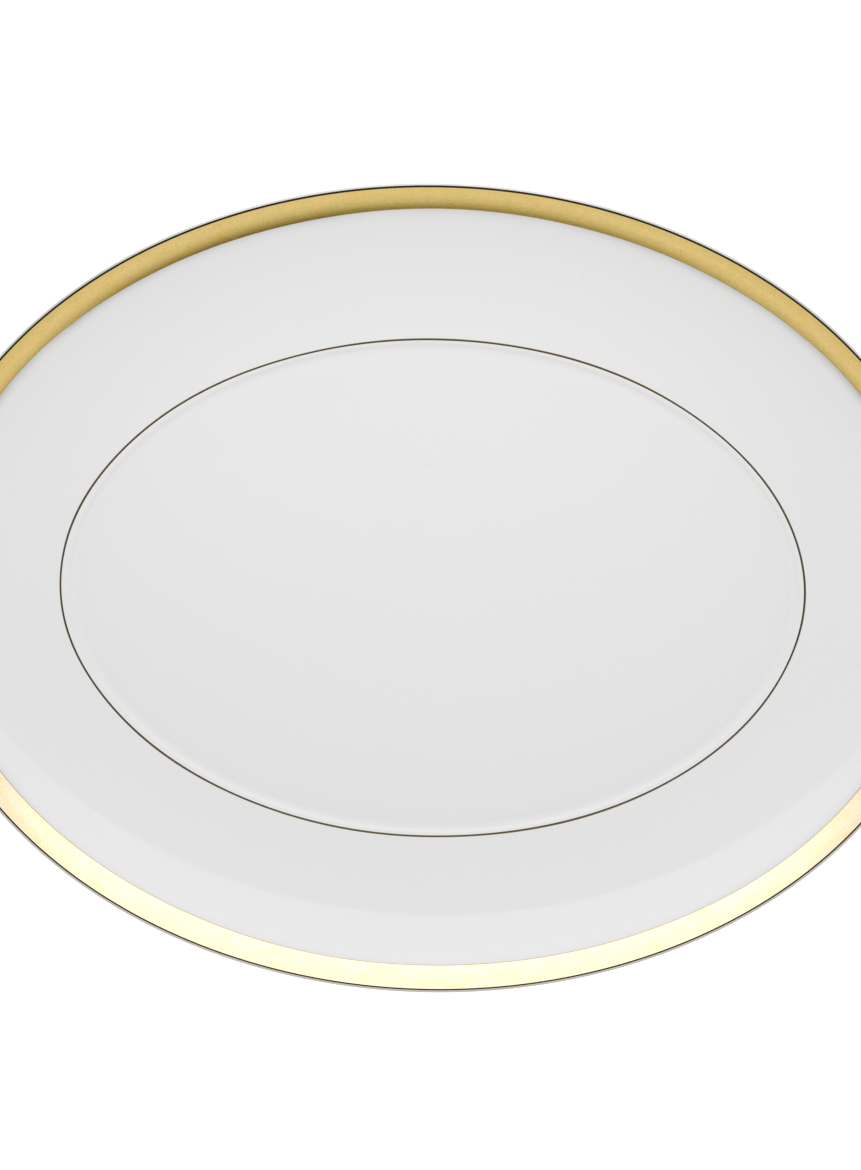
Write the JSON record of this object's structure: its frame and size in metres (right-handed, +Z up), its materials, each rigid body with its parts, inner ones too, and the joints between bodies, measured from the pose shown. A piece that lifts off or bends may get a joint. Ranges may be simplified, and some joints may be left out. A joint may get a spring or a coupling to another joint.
{
  "type": "oval serving platter",
  "caption": "Large oval porcelain serving platter with a sloping rim, a broad gilt band at the edge, a fine gilt line round the shallow well and a foot ring.",
  "frame": {"origin": "middle of the plane that the foot ring stands on", "axes": "+X along the platter's length, +Y across it, +Z up out of the dish"},
  "size_m": [0.41, 0.3154, 0.0332],
  "materials": {
    "porcelain": "unglazed bisque, smooth and matt",
    "glaze": "clear gloss glaze over white porcelain",
    "fired_gold": "fired bright gold, lightly burnished"
  },
  "bodies": {
    "root": {"porcelain_body": "porcelain", "glaze_outer": "glaze", "glaze_base_recess": "glaze", "gold_rim_band": "fired_gold", "well_hairline": "fired_gold"}
  },
  "joints": []
}
